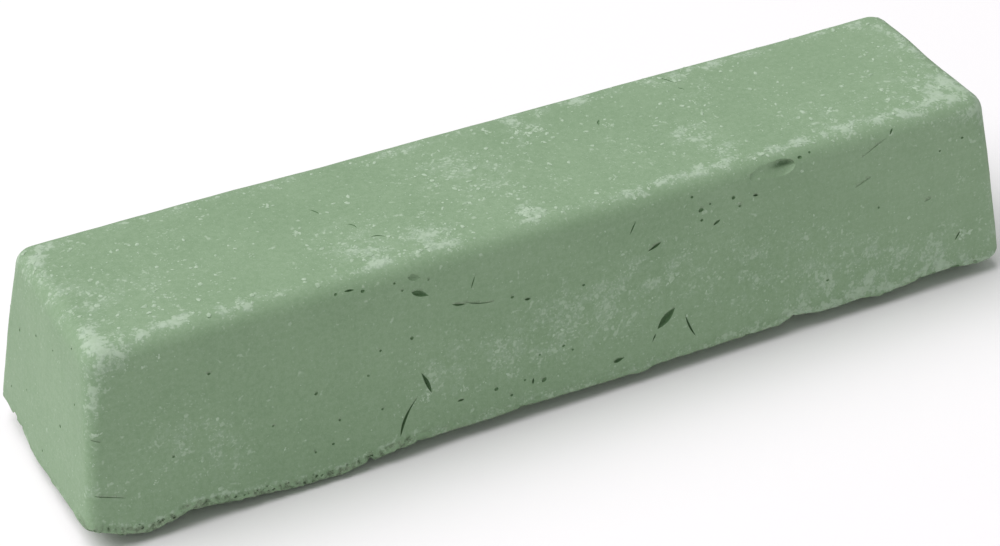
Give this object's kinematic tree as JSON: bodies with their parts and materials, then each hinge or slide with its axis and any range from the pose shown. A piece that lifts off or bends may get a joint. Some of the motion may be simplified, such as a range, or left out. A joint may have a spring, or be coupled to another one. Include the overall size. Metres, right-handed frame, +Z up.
{
  "type": "honing compound bar",
  "caption": "Cast bar of green wax-bound honing compound with drafted sides, rounded top edges and a rough pour side that it stands on; rubbed on a strop or buff to charge it with abrasive.",
  "frame": {"origin": "middle of the footprint, on the surface that the bar stands on", "axes": "+X along the bar's length, +Y across its width, +Z up from the rough pour side to the smooth moulded face"},
  "size_m": [0.1268, 0.031, 0.025],
  "materials": {
    "honing_compound": "dull wax-bound abrasive, chalky green, with a pale wax bloom along worn edges"
  },
  "bodies": {
    "root": {"cast_bar": "honing_compound"}
  },
  "joints": []
}
